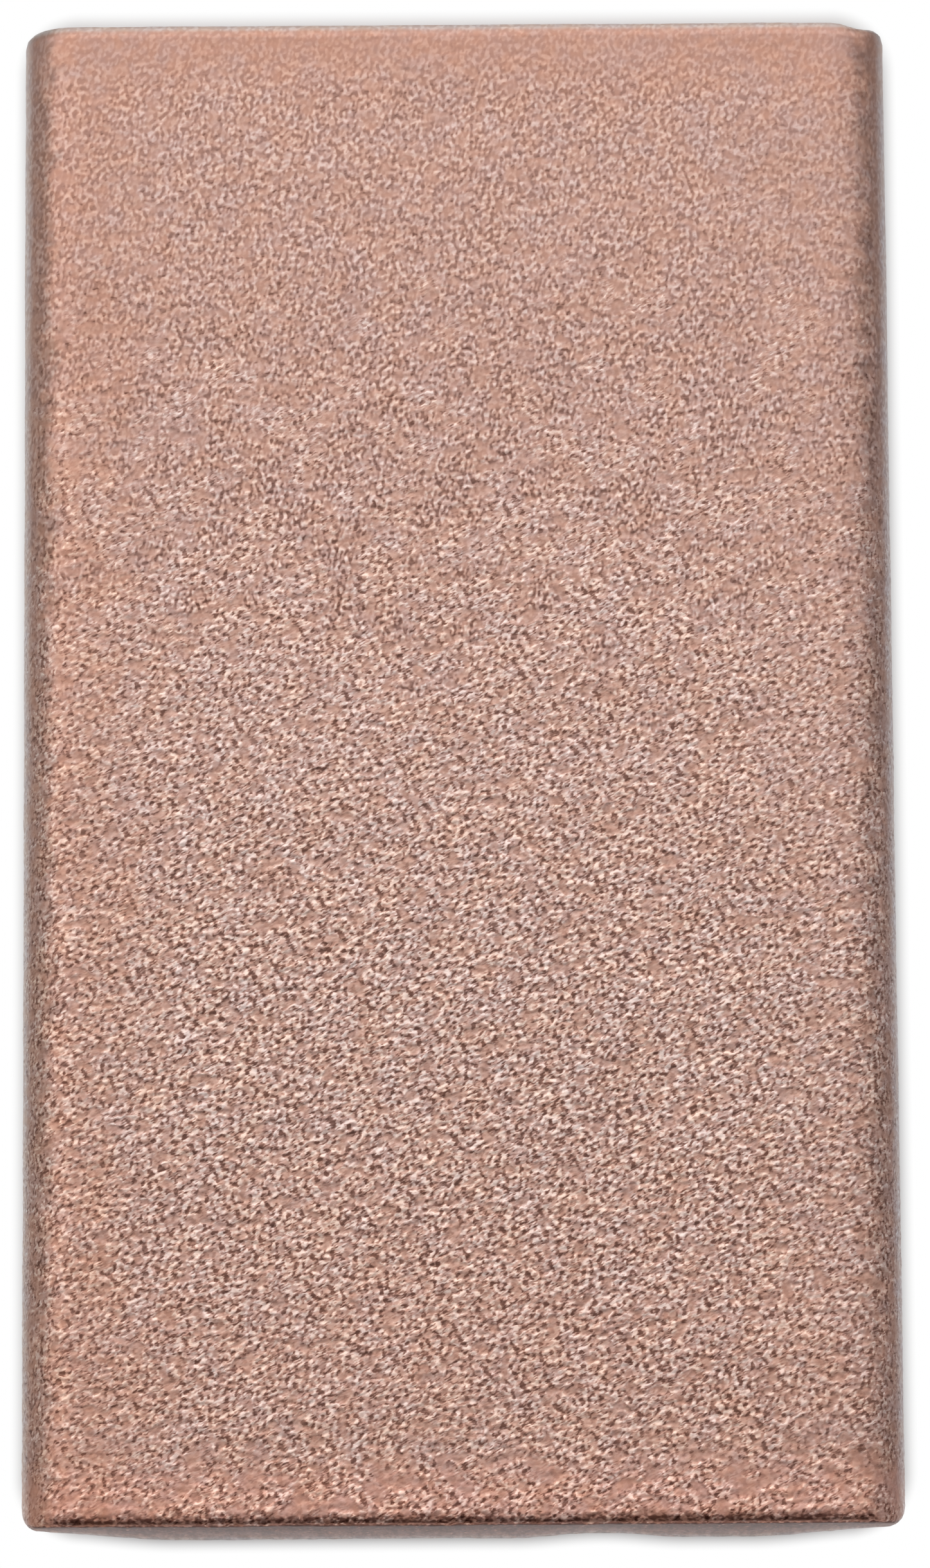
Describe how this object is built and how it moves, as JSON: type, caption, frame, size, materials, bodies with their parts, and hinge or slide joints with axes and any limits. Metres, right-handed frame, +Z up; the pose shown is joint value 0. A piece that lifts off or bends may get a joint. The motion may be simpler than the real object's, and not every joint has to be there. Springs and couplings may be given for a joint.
{
  "type": "copper ingot",
  "caption": "Flat rectangular copper ingot with rounded long edges, square-cut ends eased all round, near corners worn round, and a fine rough grain on every face.",
  "frame": {"origin": "middle of the underside, on which the ingot lies", "axes": "+Y along the length, +X across the width, +Z up out of the top face"},
  "size_m": [0.0508, 0.0888, 0.0072],
  "materials": {
    "copper": "satin"
  },
  "bodies": {
    "root": {"ingot": "copper"}
  },
  "joints": []
}
